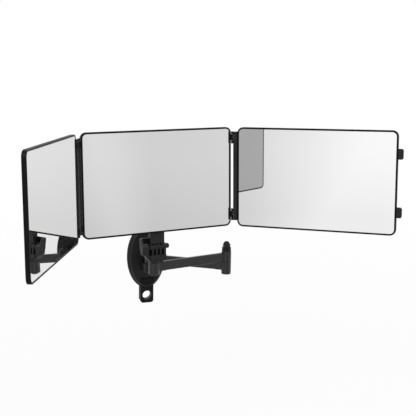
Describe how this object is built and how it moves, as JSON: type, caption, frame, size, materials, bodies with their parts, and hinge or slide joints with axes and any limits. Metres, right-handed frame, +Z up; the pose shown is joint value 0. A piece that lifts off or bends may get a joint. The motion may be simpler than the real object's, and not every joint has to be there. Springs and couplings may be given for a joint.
{
  "type": "trifold vanity mirror",
  "caption": "Trifold vanity mirror on a folding wall arm with an oval suction base, tilting head and hinged side panels.",
  "frame": {"origin": "centre of the oval base on the wall plane", "axes": "+Y into the wall, +Z up, +X right along the wall as seen from the front"},
  "size_m": [0.65, 0.4822, 0.3659],
  "materials": {
    "pad_rubber": "matte",
    "black_plastic": "satin",
    "lever_plastic": "satin",
    "knob_plastic": "satin",
    "arm_metal": "satin",
    "nut_black": "gloss",
    "black_steel": "satin",
    "steel": "satin",
    "frame_black": "satin",
    "strip_black": "satin",
    "clip_black": "satin",
    "back_black": "matte",
    "mirror_glass": "polished"
  },
  "bodies": {
    "base": {"suction_pad": "pad_rubber", "base_plate": "black_plastic", "lever_pin": "steel", "base_bracket": "black_plastic", "pivot_bolt": "black_steel"},
    "lever": {"lever": "lever_plastic"},
    "rear_link": {"rear_arm": "arm_metal", "elbow_bolt": "black_steel", "friction_collar": "arm_metal", "dome_nut": "nut_black"},
    "front_link": {"front_arm": "arm_metal"},
    "head": {"tilt_head": "black_plastic", "pan_bolt": "black_steel", "clamp_screw": "black_steel", "tilt_rod": "black_steel"},
    "knob": {"thumb_knob": "knob_plastic"},
    "middle": {"mirror_bracket": "black_plastic", "bracket_screws": "steel", "middle_frame": "frame_black", "middle_glass": "mirror_glass", "middle_back": "back_black"},
    "strip": {"hinge_strip": "strip_black", "strip_pins": "steel"},
    "left": {"left_frame": "frame_black", "left_glass": "mirror_glass", "left_back": "back_black"},
    "right": {"right_frame": "frame_black", "right_glass": "mirror_glass", "right_back": "back_black", "right_stile": "strip_black", "stile_pins": "steel", "latch_clips": "clip_black"}
  },
  "joints": [
    {"name": "base_swing", "type": "hinge", "parent": "base", "child": "rear_link", "pos_m": [0, -0.0306, 0.0024], "axis": [0, 0, 1], "range_deg": [-75, 35]},
    {"name": "elbow_fold", "type": "hinge", "parent": "rear_link", "child": "front_link", "pos_m": [0.12554, -0.11893, 0.011], "axis": [0, 0, -1], "range_deg": [-130, 30]},
    {"name": "head_pan", "type": "hinge", "parent": "front_link", "child": "head", "pos_m": [-0.02354, -0.15552, 0.028], "axis": [0, 0, -1], "range_deg": [-80, 80]},
    {"name": "mirror_tilt", "type": "hinge", "parent": "head", "child": "middle", "pos_m": [-0.02354, -0.15552, 0.0562], "axis": [0.9838, 0.1793, 0], "range_deg": [-15, 35]},
    {"name": "knob_turn", "type": "hinge", "parent": "head", "child": "knob", "pos_m": [-0.00012, -0.15125, 0.0562], "axis": [0.9838, 0.1793, 0], "continuous": true},
    {"name": "strip_fold", "type": "hinge", "parent": "middle", "child": "strip", "pos_m": [-0.1596, -0.18974, 0.17418], "axis": [-0.0074, 0.0403, 0.9992], "range_deg": [-59.3, 30]},
    {"name": "left_fold", "type": "hinge", "parent": "strip", "child": "left", "pos_m": [-0.16826, -0.21307, 0.17506], "axis": [-0.0074, 0.0403, 0.9992], "range_deg": [0, 90]},
    {"name": "right_fold", "type": "hinge", "parent": "middle", "child": "right", "pos_m": [0.12466, -0.14291, 0.17438], "axis": [-0.0074, 0.0403, 0.9992], "range_deg": [-120, 49.5]},
    {"name": "lever_swing", "type": "hinge", "parent": "base", "child": "lever", "pos_m": [0, -0.0099, -0.044], "axis": [-1, 0, 0], "range_deg": [0, 80]}
  ]
}
